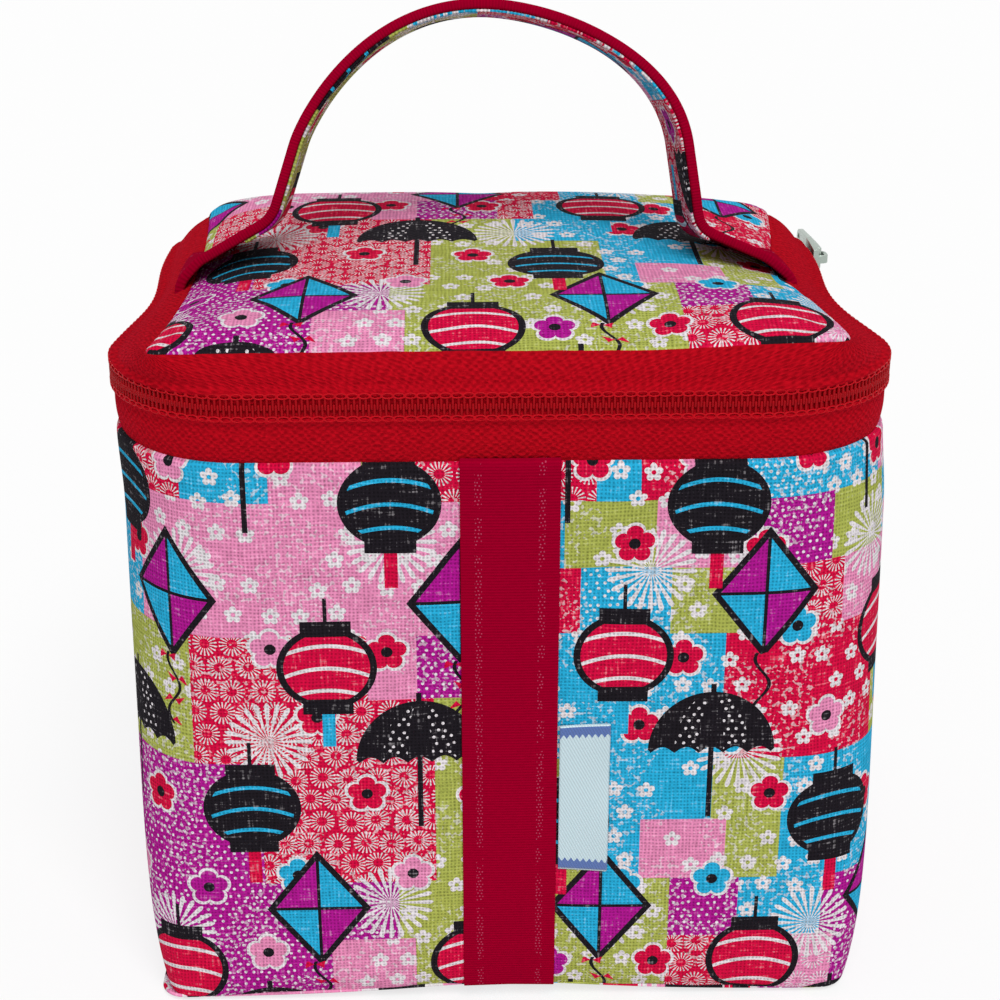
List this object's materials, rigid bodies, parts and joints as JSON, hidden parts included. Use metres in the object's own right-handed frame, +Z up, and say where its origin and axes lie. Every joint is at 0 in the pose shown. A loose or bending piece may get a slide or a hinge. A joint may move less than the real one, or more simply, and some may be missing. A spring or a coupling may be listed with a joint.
{
  "type": "vanity bag",
  "caption": "Soft padded canvas vanity bag: a rounded box with a zipped lid hinged at the back, a strap handle on the lid, a front ribbon and a small woven label.",
  "frame": {"origin": "centre of the flat base, on the surface that the bag stands on", "axes": "+Z up, -Y to the front with the ribbon, +X to the right seen from the front"},
  "size_m": [0.2057, 0.1579, 0.2621],
  "materials": {
    "printed_canvas": "printed plain-weave cotton canvas",
    "wadding": "white polyester wadding",
    "lining_cloth": "plain lining cloth",
    "red_ribbon": "crimson grosgrain ribbon",
    "red_tape": "red woven polyester zip tape",
    "label_satin": "pale woven satin label",
    "red_nylon": "red nylon coil",
    "cast_zinc": "nickel-plated die-cast zinc"
  },
  "bodies": {
    "body": {"front_panel": "printed_canvas", "back_panel": "printed_canvas", "base_panel": "printed_canvas", "front_padding": "wadding", "back_padding": "wadding", "base_padding": "wadding", "body_lining": "lining_cloth", "base_lining": "lining_cloth", "front_ribbon": "red_ribbon", "lower_zip_tape": "red_tape", "lower_zip_coil": "red_nylon", "lower_hinge_strip": "red_tape"},
    "label": {"woven_label": "label_satin"},
    "lid": {"lid_panel": "printed_canvas", "lid_padding": "wadding", "lid_lining": "lining_cloth", "upper_zip_tape": "red_tape", "upper_zip_coil": "red_nylon", "upper_hinge_strip": "red_tape", "strap_end_left": "red_ribbon", "strap_end_right": "red_ribbon"},
    "handle": {"handle_ribbon": "red_ribbon", "handle_lining": "printed_canvas"},
    "slider": {"zip_slider": "cast_zinc"},
    "pull": {"zip_pull": "cast_zinc"}
  },
  "joints": [
    {"name": "lid_hinge", "type": "hinge", "parent": "body", "child": "lid", "pos_m": [0, 0.07215, 0.17738], "axis": [-1, 0, 0], "range_deg": [0, 110]},
    {"name": "handle_fold", "type": "hinge", "parent": "lid", "child": "handle", "pos_m": [0, 0, 0.211], "axis": [1, 0, 0], "range_deg": [-68, 92], "stiffness_Nm_per_rad": 0.03},
    {"name": "slider_run", "type": "slide", "parent": "body", "child": "slider", "axis": [0.0537, -0.9986, 0], "range_m": [0, 0.084]},
    {"name": "pull_swing", "type": "hinge", "parent": "slider", "child": "pull", "pos_m": [0.10042, 0.05723, 0.17738], "axis": [0, 0, -1], "range_deg": [0, 170]},
    {"name": "label_lift", "type": "hinge", "parent": "body", "child": "label", "pos_m": [0.016, -0.0742, 0.0695], "axis": [0, 0, -1], "range_deg": [0, 100]}
  ]
}
